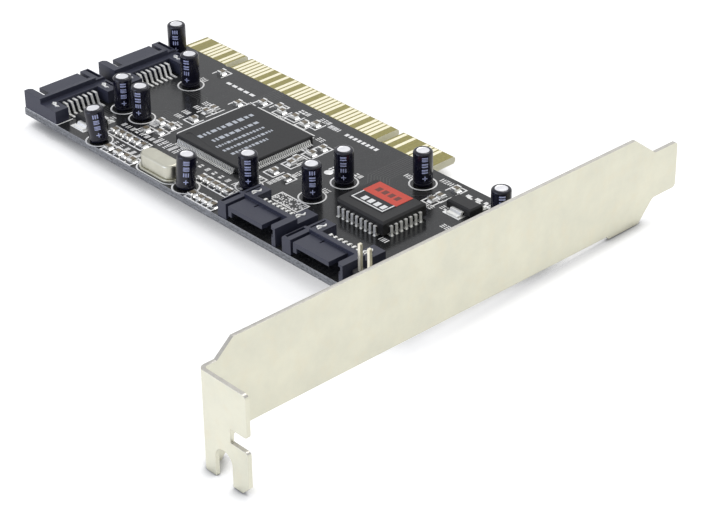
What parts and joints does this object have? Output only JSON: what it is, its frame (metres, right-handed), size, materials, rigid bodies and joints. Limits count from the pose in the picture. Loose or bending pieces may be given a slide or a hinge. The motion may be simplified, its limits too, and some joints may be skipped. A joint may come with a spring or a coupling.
{
  "type": "storage controller card",
  "caption": "Low storage controller card on a full-height slot bracket, with keyed data sockets on its top and far edges, a square controller, a carried memory chip and upright capacitors.",
  "frame": {"origin": "on the outer face of the bracket, in line with the insertion edge of the finger strip and level with the component side of the board", "axes": "+X along the bracket towards its tongue, +Y from the bracket along the board, +Z away from the component side"},
  "size_m": [0.1201, 0.1278, 0.0234],
  "materials": {
    "board": "dark solder mask, glossy",
    "gold": "gold plated, bright",
    "bracket": "nickel plated, satin",
    "fastener": "zinc plated",
    "socket_plastic": "moulded, satin",
    "tin": "tin plated, bright",
    "capacitor": "black shrunk sleeve, bare aluminium top",
    "moulding": "moulding compound, matt",
    "label": "printed paper",
    "crystal": "drawn can, satin nickel",
    "ceramic": "fired ceramic"
  },
  "bodies": {
    "root": {"angle_tab_1": "bracket", "angle_tab_2": "bracket", "board_locks": "tin", "bracket_screws": "fastener", "capacitor_leads": "tin", "capacitors": "capacitor", "chip_bodies": "ceramic", "chip_terminals": "tin", "circuit_board": "board", "contact_fingers_component_side": "gold", "contact_fingers_solder_side": "gold", "controller_body": "moulding", "controller_leads": "tin", "crystal_base": "crystal", "crystal_can": "crystal", "crystal_leads": "tin", "header_base": "moulding", "header_pins": "gold", "memory_body": "moulding", "memory_label": "label", "memory_leads": "tin", "mounting_bracket": "bracket", "regulator_bodies": "moulding", "regulator_leads": "tin", "regulator_tabs": "tin", "socket_contacts_1": "tin", "socket_contacts_2": "tin", "socket_contacts_3": "tin", "socket_contacts_4": "tin", "socket_housing_1": "socket_plastic", "socket_housing_2": "socket_plastic", "socket_housing_3": "socket_plastic", "socket_housing_4": "socket_plastic"}
  },
  "joints": []
}
